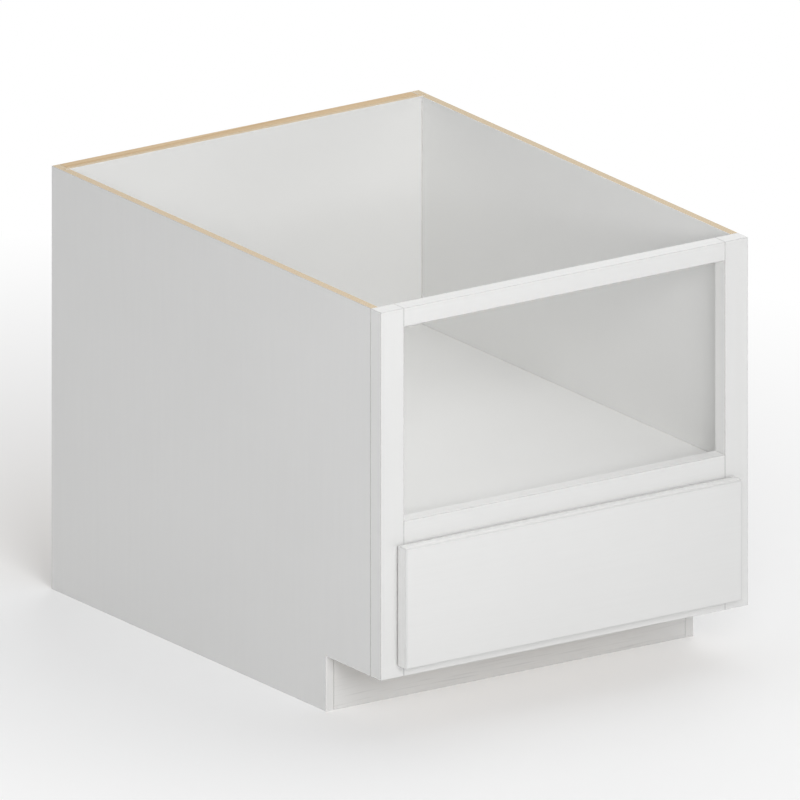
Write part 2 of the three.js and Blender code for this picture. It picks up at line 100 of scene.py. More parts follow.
# Where the drawing puts the cabinet, in pixels of its 800 x 800 frame.
PHOTO_SIZE = 800.0
PHOTO_CORNER = (380.9, 313.0)  # top front left corner, from the left and from the top
PHOTO_WIDTH = (367.2, 75.8)  # from it to the top front right corner, right and up
PHOTO_DEPTH = (-329.3, 147.3)  # from it to the top back left corner, right and up
PHOTO_HEIGHT = 423.05  # from the cabinet's top to the floor


# ---------- Settings ----------


def colour(name, description, default):
    """A colour that a user may change."""
    return bpy.props.FloatVectorProperty(
        name=name, description=description, default=default, size=3, subtype="COLOR", min=0.0, max=1.0
    )


def number(name, description, default, **kind):
    """A number that a user may change."""
    return bpy.props.FloatProperty(name=name, description=description, default=default, min=0.0, **kind)


length = partial(number, unit="LENGTH", precision=5)
share = partial(number, max=1.0, subtype="FACTOR")
power = partial(number, unit="POWER")


class CabinetFinishes(bpy.types.PropertyGroup):
    """Colours and gloss of the boards, steel and plastic."""

    paint: colour("Paint", "White lacquer on the frame, sides, toe kick and front", (0.80, 0.799, 0.79))
    paint_gloss: share("Paint roughness", "Roughness of the satin lacquer", 0.36)
    # Painted shade: how much the lacquer is darkened along joints and edges.
    painted_joint_shade: share("Joint shade", "How much the lacquer darkens along joints and edges", 0.55)
    # Painted shade on the drawer front's rounded edges.
    painted_edge_darkening: share("Edge wear", "How much the lacquer darkens on the drawer front's rounded edges", 0.42)
    laminate: colour("Laminate", "White foil inside the cabinet", (0.79, 0.789, 0.778))
    ply_light: colour("Pale ply", "Plies whose grain runs along the edge", (0.79, 0.68, 0.51))
    ply_dark: colour("Dark ply", "Plies that show their end grain", (0.56, 0.43, 0.28))
    veneer_light: colour("Pale veneer", "Early wood of the unfinished veneer", (0.71, 0.55, 0.36))
    veneer_dark: colour("Dark veneer", "Late wood of the unfinished veneer", (0.50, 0.33, 0.17))
    maple_light: colour("Pale maple", "Early wood of the drawer box", (0.82, 0.68, 0.50))
    maple_dark: colour("Dark maple", "Late wood of the drawer box", (0.64, 0.47, 0.30))
    steel: colour("Coated steel", "Epoxy coat on the rails and runners", (0.78, 0.78, 0.76))
    zinc: colour("Zinc", "Plating on screws, axles and staples", (0.60, 0.61, 0.63))
    nylon: colour("Nylon", "Rollers", (0.80, 0.785, 0.73))
    socket: colour("Socket plastic", "Rear sockets of the rails", (0.70, 0.685, 0.63))
    vinyl: colour("Vinyl", "Bumpers behind the drawer front", (0.72, 0.71, 0.68))
    glue: colour("Glue", "Hot-melt beads behind the back panel", (0.72, 0.62, 0.40))


class CabinetFittings(bpy.types.PropertyGroup):
    """Edge rounds and fastenings."""

    eased_edge: length("Eased edge", "Round on the hanging rails and the drawer front's rear edges", 0.0008)
    joint_edge: length("Joint edge", "Round where two boards meet flush", 0.0006)
    front_round: length("Front round", "Round on the drawer front's face edges", 0.002)
    pan_head: length("Pan head", "Diameter of the drawer-front screws' heads", 0.0095)
    truss_head: length("Truss head", "Diameter of the slide screws' heads", 0.0078)
    wafer_head: length("Wafer head", "Diameter of the flat heads on the runners", 0.0052)
    staple_crown: length("Staple crown", "Width of a staple", 0.0105)
    staple_wire: length("Staple wire", "Width of a staple's flat wire", 0.0013)
    staple_spacing: length("Staple spacing", "Distance between staples", 0.085)
    bead_radius: length("Glue bead", "Radius of the glue beads", 0.0034)


class CabinetStudio(bpy.types.PropertyGroup):
    """Floor, lamps and camera."""

    floor: colour("Floor", "Pale floor", (0.86, 0.86, 0.86))
    floor_half: length("Floor half width", "Half of the floor's width", 9.0)
    sky: share("Sky light", "Strength of the even light from all round", 0.31)
    key_power: power("Key lamp", "Power of the lamp in front", 116.0)
    fill_power: power("Fill lamp", "Power of the lamp on the left", 10.0)
    top_power: power("Top lamp", "Power of the lamp overhead", 26.0)
    rear_power: power("Rear lamp", "Power of the lamp behind", 34.0)
    camera_distance: length("Camera distance", "From the cabinet to the camera", 5.0)


# ---------- Shader building ----------


class Value:
    """A number that a shader works out at each point. Plain sums of it add the nodes they need."""

    def __init__(self, nodes, socket):
        self.nodes, self.socket = nodes, socket

    def __add__(self, other):
        return self.nodes.math("ADD", self, other)

    def __sub__(self, other):
        return self.nodes.math("SUBTRACT", self, other)

    def __rsub__(self, other):
        return self.nodes.math("SUBTRACT", other, self)

    def __mul__(self, other):
        return self.nodes.math("MULTIPLY", self, other)


class Nodes:
    """A tree of shader nodes, which are added and joined by short calls."""

    def __init__(self, tree):
        self.tree = tree
        tree.nodes.clear()

    def add(self, kind, **settings):
        node = self.tree.nodes.new(kind)
        for key, value in settings.items():
            setattr(node, key, value)
        return node

    def feed(self, socket, value):
        """Joins a socket to another, or sets it to a number, vector or colour."""
        if isinstance(value, Value):
            value = value.socket
        if isinstance(value, bpy.types.NodeSocket):
            self.tree.links.new(value, socket)
        elif socket.type == "RGBA":
            socket.default_value = (*value[:3], 1.0)
        else:
            socket.default_value = value

    def put(self, node, **values):
        """Feeds a node's inputs by their names, with _ for a space, and returns the node."""
        for name, value in values.items():
            self.feed(node.inputs[name.replace("_", " ")], value)
        return node

    def made(self, kind, *values, **settings):
        """Adds a node, feeds its inputs in their order and returns its first output."""
        node = self.add(kind, **settings)
        for socket, value in zip(node.inputs, values):
            self.feed(socket, value)
        return node.outputs[0]

    def math(self, operation, first, second=0.0):
        return Value(self, self.made("ShaderNodeMath", first, second, operation=operation))

    def background_rays(self):
        """1 for the rays that show the background: the camera's, and those that mirror or pass glass."""
        rays = self.add("ShaderNodeLightPath").outputs
        seen = self.math("MAXIMUM", rays["Is Camera Ray"], rays["Is Glossy Ray"])
        return self.math("MAXIMUM", seen, rays["Is Transmission Ray"])


class Shader(Nodes):
    """One material, with a surface shader that its finish is fed to."""

    def __init__(self, name):
        self.material = bpy.data.materials.new(name)
        self.material.use_nodes = True
        super().__init__(self.material.node_tree)
        self.output = self.add("ShaderNodeOutputMaterial").inputs["Surface"]
        self.surface = self.add("ShaderNodeBsdfPrincipled")
        self.feed(self.output, self.surface.outputs["BSDF"])
        coordinates = self.add("ShaderNodeTexCoord").outputs
        self.place, self.normal = coordinates["Object"], coordinates["Normal"]

    def span(self, value, low, high, to_low=0.0, to_high=1.0):
        """Maps a value's range to another, and holds it inside."""
        return Value(self, self.made("ShaderNodeMapRange", value, low, high, to_low, to_high, clamp=True))

    def spread(self, noise, to_low=0.0, to_high=1.0):
        """Maps the range that noise mostly keeps to, from 0.3 to 0.7, to another."""
        return self.span(noise, 0.3, 0.7, to_low, to_high)

    def blend(self, factor, first, second):
        """Mixes two colours. The node's colours are its inputs 6 and 7 and its output 2."""
        node = self.add("ShaderNodeMix", data_type="RGBA")
        self.feed(node.inputs["Factor"], factor)
        self.feed(node.inputs[6], first)
        self.feed(node.inputs[7], second)
        return node.outputs[2]

    def tint(self, factor, rgb, dark, light):
        """A colour that goes from a darker to a lighter tone of itself."""
        return self.blend(factor, shade(rgb, dark), shade(rgb, light))

    def noise(self, scale, offset=(0.0, 0.0, 0.0), detail=2.0, roughness=0.5, distortion=0.0):
        """Noise in the object's coordinates, which are stretched by a factor along each axis."""
        place = self.made("ShaderNodeMapping", self.place, offset, (0.0, 0.0, 0.0), scale)
        node = self.add("ShaderNodeTexNoise")
        self.put(node, Vector=place, Scale=1.0, Detail=detail, Roughness=roughness, Distortion=distortion)
        return Value(self, node.outputs["Fac"])

    def mottle(self, scale, seed=0.0, **settings):
        """Noise of one size along every axis."""
        return self.noise((scale,) * 3, (seed,) * 3, **settings)

    def streaks(self, axis, along, across, offset, **settings):
        """Noise drawn out along an axis, as wood grain is."""
        scale = [along if name == axis else across for name in AXES]
        return self.noise(scale, offset, **settings)

    def part(self, vector, axis):
        """One coordinate of a vector."""
        node = self.put(self.add("ShaderNodeSeparateXYZ"), Vector=vector)
        return Value(self, node.outputs[AXES[axis]])

    def along(self, axis):
        """The coordinate along one axis."""
        return self.part(self.place, axis)

    def facing(self, axis):
        """How far the surface faces along one axis, either way."""
        return self.math("ABSOLUTE", self.part(self.normal, axis))

    def bump(self, height, depth, strength, under=None):
        """Relief of a height, over another relief where one is given."""
        node = self.put(self.add("ShaderNodeBump"), Strength=strength, Distance=depth, Height=height)
        if under is not None:
            self.feed(node.inputs["Normal"], under)
        return node.outputs[0]

    def finish(self, tone, roughness, relief=None, **constants):
        """Feeds the surface and returns the material. Plain numbers go straight to the shader."""
        self.put(self.surface, Base_Color=tone, Roughness=roughness, **constants)
        if relief is not None:
            self.feed(self.surface.inputs["Normal"], relief)
        return self.material


def shade(rgb, factor):
    """A darker or lighter tone of a colour."""
    return tuple(min(1.0, channel * factor) for channel in rgb)


def edge_distance(shader, box):
    """Distance from a box-shaped board's nearest edge, on its faces."""
    depths = []
    for axis, low, high in zip(AXES, *box):
        place = shader.along(axis)
        depths.append(shader.math("MINIMUM", place - low, high - place))
    smaller = shader.math("MINIMUM", depths[0], depths[1])
    larger = shader.math("MAXIMUM", depths[0], depths[1])
    return shader.math("MAXIMUM", smaller, shader.math("MINIMUM", larger, depths[2]))


def wood(shader, axis, light, dark, seed, rings, figure=0.55):
    """Colour and fibre height of a flat-sawn or peeled board whose grain runs along an axis.

    Each ring darkens slowly towards its late wood and then starts pale again. Streaks and fibres of two
    widths lie over the rings."""
    offset = (seed, seed * 1.7, seed * 0.6)
    field = shader.streaks(axis, 0.9, 7.5, offset, detail=1.6, distortion=0.35)
    ring = shader.math("FRACT", field * rings)
    late = shader.math("POWER", ring, 3.0) * shader.span(ring, 0.93, 1.0, 1.0, 0.0)
    streak = shader.streaks(axis, 2.2, 95.0, offset, detail=3.0, roughness=0.6)
    fibre = shader.streaks(axis, 14.0, 620.0, offset, detail=3.0, roughness=0.6)
    drift = shader.streaks(axis, 1.6, 5.0, offset)
    pores = shader.streaks(axis, 75.0, 1400.0, offset, detail=1.0)
    lines = shader.span(streak * 0.5 + fibre * 0.5, 0.34, 0.66)
    depth = lines * (1.0 - figure) - late * figure
    toned = shader.blend(shader.span(depth, -figure, 1.0 - figure), dark, light)
    toned = shader.blend(shader.spread(drift, 0.0, 0.3), toned, shade(dark, 1.06))
    flecks = shader.span(pores, 0.63, 0.73, 0.0, 0.28)
    return shader.blend(flecks, toned, shade(dark, 0.72)), fibre - flecks


def end_grain(shader, light, dark, seed):
    """Colour of a board's cut end: close pores in faint arcs."""
    pores = shader.mottle(900.0, seed)
    arcs = shader.noise((60.0, 60.0, 150.0), (seed, 0.0, seed), detail=1.0, distortion=0.8)
    marks = shader.spread(pores * 0.6 + arcs * 0.4)
    return shader.blend(marks, shade(dark, 0.62), shade(light, 0.72))


def solid_wood(shader, axis, light, dark, seed, **figure):
    """Colour and fibre height of a solid board, with end grain on its cut ends."""
    tone, fibre = wood(shader, axis, light, dark, seed, **figure)
    ends = end_grain(shader, light, dark, seed)
    return shader.blend(shader.span(shader.facing(axis), 0.6, 0.8), tone, ends), fibre


def plies(shader, axis, low, high, finishes):
    """Colour of a plywood edge: thin plies across the board's thickness, pale and dark in turn."""
    count = 9
    depth = shader.along(axis) - low
    phase = depth * (count * math.pi / (high - low)) + shader.mottle(9.0) * 1.1
    band = shader.span(shader.math("SINE", phase), -0.35, 0.35)
    streak = shader.mottle(420.0)
    pale = shader.tint(streak, finishes.ply_light, 0.86, 1.08)
    deep = shader.tint(streak, finishes.ply_dark, 0.8, 1.2)
    return shader.blend(band, deep, pale)


# ---------- Finishes ----------


def painted_joint_shade(shader, box, finishes):
    """How much painted shade the lacquer gets, unevenly, along the edges and joints of a board. It stands
    in for the shade in the joints' grooves.
    """
    width = 0.0008
    inset = edge_distance(shader, box) - shader.mottle(130.0, detail=3.0) * width
    return shader.span(inset, 0.0, width, finishes.painted_joint_shade, 0.0)


def painted_edge_shade(shader, box, finishes):
    """How much painted shade the lacquer gets on a slab's rounded edges."""
    return shader.span(edge_distance(shader, box), 0.0004, 0.0034, finishes.painted_edge_darkening, 0.0)


def lacquer(shader, axis, box, finishes, seed, edges=painted_joint_shade):
    """Colour, cloud and grain of white lacquer on a board whose grain runs along an axis, with painted
    shade along the board's edges.
    """
    cloud = shader.mottle(3.4, seed, detail=3.0)
    offset = (seed, 0.0, seed)
    grain = shader.streaks(axis, 4.0, 150.0, offset, detail=3.5, roughness=0.62, distortion=0.25)
    coat = shader.tint(shader.spread(cloud * 0.6 + grain * 0.4), finishes.paint, 0.975, 1.01)
    # Painted shade: the coat darkens along the board's edges and joints.
    coat = shader.blend(edges(shader, box, finishes), coat, shade(finishes.paint, PAINTED_SHADE_TONE))
    return coat, cloud, grain


def painted(name, axis, box, finishes, seed, scuffed=0.0, edges=painted_joint_shade):
    """Satin white lacquer sprayed on a board, with its grain faintly telegraphed and painted shade along
    its edges.

    A scuffed board has thin marks along its foot, as shoes leave."""
    shader = Shader(name)
    toned, cloud, grain = lacquer(shader, axis, box, finishes, seed, edges)
    peel = shader.mottle(560.0, detail=1.5)
    if scuffed > 0.0:
        marks = shader.noise((11.0, 11.0, 260.0), (seed, seed, 0.0), detail=2.5, roughness=0.55)
        height = shader.span(shader.along("z"), 0.0, 0.09, 1.0, 0.15)
        scuffs = shader.span(marks, 0.56, 0.74) * height * scuffed
        toned = shader.blend(scuffs, toned, shade(finishes.paint, 0.62))
    gloss = shader.span(cloud, 0.25, 0.75, finishes.paint_gloss - 0.05, finishes.paint_gloss + 0.07)
    relief = shader.bump(peel, 0.00005, 0.5, shader.bump(grain, 0.00008, 0.4))
    return shader.finish(toned, gloss, relief, Coat_Weight=0.12, Coat_Roughness=0.22, IOR=1.47)


def laminate_coat(shader, finishes):
    """Colour and relief of the white foil: a fine pearl texture."""
    pearl = shader.mottle(1300.0, detail=1.0)
    cloud = shader.mottle(2.6)
    return shader.tint(shader.spread(cloud), finishes.laminate, 0.97, 1.02), pearl


def faced_board(node, axis, faces, grain, seed, finishes, notch):
    """A plywood board: each broad face is laminate, paint or bare veneer, and its edges show plies.

    A board with a painted face has its edges painted too below and in front of notch, a (z, y) corner."""
    shader = Shader(f"ply_{node}")
    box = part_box(node)
    low, high = (corner[AXES[axis]] for corner in box)
    foil, pearl = laminate_coat(shader, finishes)
    bare, fibre = wood(shader, grain, finishes.veneer_light, finishes.veneer_dark, seed, rings=11.0)
    # The painted face gets painted shade along the board's edges.
    coat = lacquer(shader, grain, box, finishes, seed)[0]
    coats = {"laminate": foil, "paint": coat, "veneer": bare}
    place = shader.along(axis)
    on_low = shader.math("LESS_THAN", place, low + FACE_SKIN)
    on_high = shader.math("GREATER_THAN", place, high - FACE_SKIN)
    tone = plies(shader, axis, low, high, finishes)
    for on_face, facing in zip((on_low, on_high), faces):
        tone = shader.blend(on_face, tone, coats[facing])
    smooth_face = shader.math("MAXIMUM", on_low, on_high)
    if "paint" in faces:
        below = shader.math("LESS_THAN", shader.along("z"), notch[0])
        before = shader.math("LESS_THAN", shader.along("y"), notch[1])
        in_notch = below * before
        tone = shader.blend(in_notch, tone, coat)
        smooth_face = shader.math("MAXIMUM", smooth_face, in_notch)
    rough = shader.span(smooth_face, 0.0, 1.0, 0.8, 0.42)
    relief = shader.bump(fibre, 0.00012, 0.35, shader.bump(pearl, 0.00003, 0.4))
    return shader.finish(tone, rough, relief, IOR=1.48)


def bare_wood(name, axis, finishes, seed):
    """Unfinished wood of the hanging rails."""
    shader = Shader(name)
    veneer = finishes.veneer_light, finishes.veneer_dark
    tone, fibre = solid_wood(shader, axis, *veneer, seed, rings=13.0, figure=0.65)
    rough = shader.spread(fibre, 0.62, 0.82)
    return shader.finish(tone, rough, shader.bump(fibre, 0.00022, 0.6), IOR=1.46)


def maple(name, axis, finishes, seed):
    """Clear-lacquered maple of the drawer box."""
    shader = Shader(name)
    boards = finishes.maple_light, finishes.maple_dark
    tone, fibre = solid_wood(shader, axis, *boards, seed, rings=7.0, figure=0.45)
    rough = shader.spread(fibre, 0.30, 0.42)
    relief = shader.bump(fibre, 0.00009, 0.4)
    return shader.finish(tone, rough, relief, Coat_Weight=0.35, Coat_Roughness=0.16, IOR=1.5)


def coated_steel(name, finishes):
    """White epoxy powder coat on folded steel, slightly uneven."""
    shader = Shader(name)
    peel = shader.mottle(330.0, detail=0.5)
    cloud = shader.mottle(14.0)
    tone = shader.tint(shader.spread(cloud), finishes.steel, 0.95, 1.03)
    rough = shader.spread(peel, 0.26, 0.36)
    relief = shader.bump(peel, 0.00004, 0.4)
    return shader.finish(tone, rough, relief, Coat_Weight=0.3, Coat_Roughness=0.12, IOR=1.5)


def zinc_plate(name, finishes):
    """Zinc-plated steel with the fine lines of its forming."""
    shader = Shader(name)
    lines = shader.noise((2600.0, 700.0, 2600.0))
    bloom = shader.mottle(260.0)
    tone = shader.tint(bloom, finishes.zinc, 0.84, 1.12)
    rough = shader.spread(lines, 0.24, 0.42)
    return shader.finish(tone, rough, shader.bump(lines, 0.00003, 0.5), Metallic=1.0)


def moulded(name, rgb, marks, tones, gloss, relief, **constants):
    """A plastic whose marks move its colour, roughness and relief together.

    marks is (scale, detail), tones and gloss are (low, high), and relief is (depth, strength)."""
    shader = Shader(name)
    mark = shader.mottle(marks[0], detail=marks[1])
    rough = shader.spread(mark, *gloss)
    return shader.finish(shader.tint(mark, rgb, *tones), rough, shader.bump(mark, *relief), **constants)


def nylon(name, finishes):
    """Moulded nylon with a waxy surface."""
    waxy = {"Subsurface_Weight": 0.12, "Subsurface_Radius": (0.004, 0.0035, 0.003), "IOR": 1.53}
    marks, tones, gloss = (180.0, 2.0), (0.95, 1.03), (0.34, 0.46)
    return moulded(name, finishes.nylon, marks, tones, gloss, (0.00004, 0.4), **waxy)


def socket_plastic(name, finishes):
    """Spark-textured plastic of the rear sockets."""
    marks, tones, gloss = (1500.0, 2.0), (0.94, 1.03), (0.48, 0.62)
    return moulded(name, finishes.socket, marks, tones, gloss, (0.00005, 0.7), IOR=1.5)


def vinyl(name, finishes):
    """Soft clear vinyl of the bumpers."""
    clear = {"Transmission_Weight": 0.35, "IOR": 1.51}
    marks, tones, gloss = (300.0, 2.0), (0.95, 1.04), (0.22, 0.34)
    return moulded(name, finishes.vinyl, marks, tones, gloss, (0.00004, 0.4), **clear)


def hot_melt(name, finishes):
    """Cooled hot-melt glue."""
    milky = {"Subsurface_Weight": 0.2, "Subsurface_Radius": (0.006, 0.005, 0.003)}
    marks, tones, gloss = (110.0, 1.0), (0.88, 1.08), (0.22, 0.38)
    return moulded(name, finishes.glue, marks, tones, gloss, (0.0003, 0.4), **milky)


# ---------- Mesh building ----------


def middle_of(node):
    """The middle of a node's box."""
    low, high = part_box(node)
    return (low + high) / 2


def outer_face(node):
    """Distance from the cabinet's middle to the outer face of a node at one side."""
    return max(abs(corner.x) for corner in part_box(node))


def dress(node, material):
    """Gives a solid one material."""
    materials = NODES[node].data.materials
    materials.clear()
    materials.append(material)


def finish_solid(node, material, width, segments=2):
    """Gives a solid its material, joins its flat facets and rounds its hard edges."""
    dress(node, material)
    piece = NODES[node]
    weld = piece.modifiers.new("Weld", "WELD")
    weld.merge_threshold = 0.00001
    flat = piece.modifiers.new("Flat", "DECIMATE")
    flat.decimate_type = "DISSOLVE"
    flat.angle_limit = math.radians(0.5)
    bevel = piece.modifiers.new("Round", "BEVEL")
    bevel.width = width
    bevel.segments = segments
    bevel.limit_method = "ANGLE"
    bevel.angle_limit = math.radians(40.0)
    bevel.miter_outer = "MITER_ARC"


def linked(name, data):
    """Puts a new object in the scene."""
    piece = bpy.data.objects.new(name, data)
    bpy.context.scene.collection.objects.link(piece)
    return piece


def mesh_from(name, shape):
    """Turns a bmesh into a mesh whose faces look outwards."""
    bmesh.ops.recalc_face_normals(shape, faces=shape.faces)
    mesh = bpy.data.meshes.new(name)
    shape.to_mesh(mesh)
    shape.free()
    return mesh


def smoothed(mesh, crease):
    """Shades a mesh smooth, apart from edges sharper than a crease angle in degrees."""
    mesh.polygons.foreach_set("use_smooth", [True] * len(mesh.polygons))
    mesh.set_sharp_from_angle(angle=math.radians(crease))
    return mesh


def object_from(name, shape, body, material, crease=32.0):
    """Turns a bmesh into a finished object that rides on a body."""
    mesh = smoothed(mesh_from(name, shape), crease)
    return placed(name, mesh, Matrix.Identity(4), body, material)


def placed(name, mesh, matrix, body, material):
    """Puts a mesh in the scene as a named piece of a body."""
    piece = linked(name, mesh)
    piece.matrix_world = matrix
    if not mesh.materials:
        mesh.materials.append(material)
    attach(piece, body)
    return piece


def lofted(shape, rings):
    """Skins a row of rings of vertices, and caps both ends."""
    for near, far in zip(rings, rings[1:]):
        for index in range(len(near)):
            after = (index + 1) % len(near)
            shape.faces.new((near[index], near[after], far[after], far[index]))
    for end in (rings[0], rings[-1]):
        shape.faces.new(end)


def turned(profile, segments=40):
    """Turns a profile of (radius, height) points about Z. It closes on itself or ends on the axis."""
    shape = bmesh.new()
    on_axis = 1e-7
    angles = [math.tau * step / segments for step in range(segments)]
    rings = []
    for radius, height in profile:
        if radius < on_axis:
            rings.append([shape.verts.new((0.0, 0.0, height))] * segments)
        else:
            around = [(radius * math.cos(a), radius * math.sin(a), height) for a in angles]
            rings.append([shape.verts.new(point) for point in around])
    following = rings[1:] + rings[:1] if profile[0][0] > on_axis else rings[1:]
    for inner, outer in zip(rings, following):
        for step in range(segments):
            after = (step + 1) % segments
            corners = dict.fromkeys((inner[step], inner[after], outer[after], outer[step]))
            if len(corners) > 2:
                shape.faces.new(list(corners))
    return shape


def arc(centre, radius, start, end, steps):
    """Points of an arc in a (radius, height) profile, angles in degrees."""
    angles = [math.radians(start + (end - start) * step / steps) for step in range(steps + 1)]
    return [(centre[0] + radius * math.cos(a), centre[1] + radius * math.sin(a)) for a in angles]


def recess_blade(shape, length, width, top, bottom, taper, turn):
    """Adds one tapered blade of a cross recess, turned about Z."""
    spin = Matrix.Rotation(turn, 3, "Z")
    rings = []
    for height, factor in ((bottom, taper), (top, 1.0)):
        half_length, half_width = length / 2 * factor, width / 2 * (0.5 + factor / 2)
        corners = [Vector((x * half_length, y * half_width, height)) for x, y in SQUARE]
        rings.append([shape.verts.new(spin @ corner) for corner in corners])
    lofted(shape, rings)


def screw_mesh(name, head, height, shank, reach, recess):
    """A domed screw head with a cross recess, its seat at z = 0 and its shank below."""
    rim, tip, point = height * 0.28, shank * 0.25, shank * 1.6
    profile = [(0.0, -reach), (tip, -reach), (shank, point - reach), (shank, 0.0), (head * 0.96, 0.0)]
    profile += [(head, rim * 0.4), (head, rim)]
    profile += [(head * math.cos(a), rim + (height - rim) * math.sin(a)) for a in (0.35, 0.7, 1.05, 1.32)]
    cross = bmesh.new()
    for turn in (0.0, math.pi / 2):
        recess_blade(cross, head * 1.05, head * 0.2, height * 1.3, height - recess, 0.45, turn)
    blank = linked(name + "_blank", mesh_from(name, turned(profile + [(0.0, height)])))
    cutter = linked(name + "_cutter", mesh_from(name + "_recess", cross))
    cut = blank.modifiers.new("Recess", "BOOLEAN")
    cut.object = cutter
    cut.solver = "EXACT"
    cut.use_self = True
    graph = bpy.context.evaluated_depsgraph_get()
    result = bpy.data.meshes.new_from_object(blank.evaluated_get(graph))
    result.name = name
    for temporary in (blank, cutter):
        bpy.data.objects.remove(temporary)
    return smoothed(result, 35.0)


def pointing(place, direction):
    """A matrix that puts a mesh's +Z along a direction at a place."""
    turn = Vector(direction).to_track_quat("Z", "Y")
    return Matrix.LocRotScale(Vector(place), turn, None)


# ---------- Operators ----------


class CABINET_OT_face_frame(bpy.types.Operator):
    """Eases and paints the stiles and rails of the face frame"""

    bl_idname = "cabinet.face_frame"
    bl_label = "Face Frame"

    def execute(self, context):
        finishes, fittings = context.scene.cabinet_finishes, context.scene.cabinet_fittings
        boards = {"left_stile": "z", "right_stile": "z"}
        boards |= {f"{level}_rail": "x" for level in ("top", "middle", "bottom")}
        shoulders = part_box("left_stile")[1].x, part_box("right_stile")[0].x
        for seed, (node, axis) in enumerate(boards.items()):
            low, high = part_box(node)
            if axis == "x":
                low.x, high.x = shoulders
            # Each board's lacquer gets painted shade along its edges and joints.
            coat = painted(f"lacquer_{node}", axis, (low, high), finishes, 3.1 * seed + 0.7)
            finish_solid(node, coat, fittings.joint_edge, segments=3)
        return {"FINISHED"}


class CABINET_OT_carcass(bpy.types.Operator):
    """Finishes the end panels, back, bottom, shelf, toe kick and hanging rails"""

    bl_idname = "cabinet.carcass"
    bl_label = "Carcass"

    def execute(self, context):
        finishes, fittings = context.scene.cabinet_finishes, context.scene.cabinet_fittings
        kick = "toe_kick_board"
        past = 0.0002
        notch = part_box("left_stile")[0].z + past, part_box(kick)[0].y + past
        boards = {
            "left_end_panel": ("x", ("paint", "laminate"), "z", -5.3),
            "right_end_panel": ("x", ("laminate", "paint"), "z", 5.3),
            "back_panel": ("y", ("laminate", "veneer"), "z", 1.0),
            "bottom_panel": ("z", ("veneer", "laminate"), "x", 3.9),
            "microwave_shelf": ("z", ("laminate", "laminate"), "x", 6.8),
        }
        for node, (axis, faces, grain, seed) in boards.items():
            coat = faced_board(node, axis, faces, grain, seed, finishes, notch)
            finish_solid(node, coat, fittings.joint_edge)
        # The kick's lacquer gets painted shade along its edges, as well as scuffs along its foot.
        coat = painted("lacquer_kick", "x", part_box(kick), finishes, 9.4, scuffed=0.35)
        finish_solid(kick, coat, fittings.joint_edge, segments=3)
        for seed, node in enumerate(("upper_hanging_rail", "lower_hanging_rail")):
            coat = bare_wood(f"wood_{node}", "x", finishes, 4.7 * seed + 2)
            finish_solid(node, coat, fittings.eased_edge)
        return {"FINISHED"}


class CABINET_OT_glue_beads(bpy.types.Operator):
    """Runs glue beads down the hidden corners behind and under the boards"""

    bl_idname = "cabinet.glue_beads"
    bl_label = "Glue Beads"

    def execute(self, context):
        self.radius = context.scene.cabinet_fittings.bead_radius
        self.material = hot_melt("hot_melt_glue", context.scene.cabinet_finishes)
        kick_end, board_end = 0.004, 0.03
        backwards, downwards = Vector((0, 1, 0)), Vector((0, 0, -1))
        back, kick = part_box("back_panel")[1].y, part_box("toe_kick_board")
        lower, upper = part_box("lower_hanging_rail")[1].z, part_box("upper_hanging_rail")[0].z
        front, rear = (corner.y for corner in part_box("microwave_shelf"))
        for side, out in SIDES:
            wall = out * min(abs(corner.x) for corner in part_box(f"{side}_end_panel"))
            inwards = Vector((-out, 0, 0))
            ends = (wall, back, lower), (wall, back, upper)
            self.bead(f"glue_back_{side}", *ends, inwards, backwards)
            ends = (wall, kick[1].y, kick[0].z + kick_end), (wall, kick[1].y, kick[1].z - kick_end)
            self.bead(f"glue_toe_kick_{side}", *ends, inwards, backwards)
            for node in ("bottom_panel", "microwave_shelf"):
                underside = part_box(node)[0].z
                ends = (wall, front + board_end, underside), (wall, rear - board_end, underside)
                self.bead(f"glue_{node}_{side}", *ends, inwards, downwards)
        return {"FINISHED"}

    def bead(self, name, start, end, first, second):
        """A fillet of glue in a corner: it swells and thins along its way and tapers at its ends.

        first and second are the directions in which it lies against the two boards."""
        sides = 8
        start, end = Vector(start), Vector(end)
        span = (end - start).length
        tip = 2.2 * self.radius
        nose = [tip * (1.0 - math.cos(math.pi / 2 * step / 6)) for step in range(6)]
        steps = round((span - 2 * tip) / 0.005)
        body = [tip + (span - 2 * tip) * step / steps for step in range(steps + 1)]
        shape = bmesh.new()
        rings = []
        for reached in nose + body + [span - part for part in reversed(nose)]:
            swell = 1.0 + 0.12 * math.sin(reached * 95.0 + start.x * 9.0) + 0.08 * math.sin(reached * 37.0)
            to_tip = min(1.0, min(reached, span - reached) / tip)
            size = self.radius * swell * max(0.06, math.sqrt(1.0 - (1.0 - to_tip) ** 2))
            middle = start.lerp(end, reached / span)
            ring = [shape.verts.new(middle)]
            for turn in range(sides + 1):
                angle = math.pi / 2 * turn / sides
                reach = size * (1.0 - 0.12 * math.sin(2 * angle))
                outwards = first * math.cos(angle) + second * math.sin(angle)
                ring.append(shape.verts.new(middle + reach * outwards))
            rings.append(ring)
        lofted(shape, rings)
        object_from(name, shape, "carcass", self.material, 60.0)


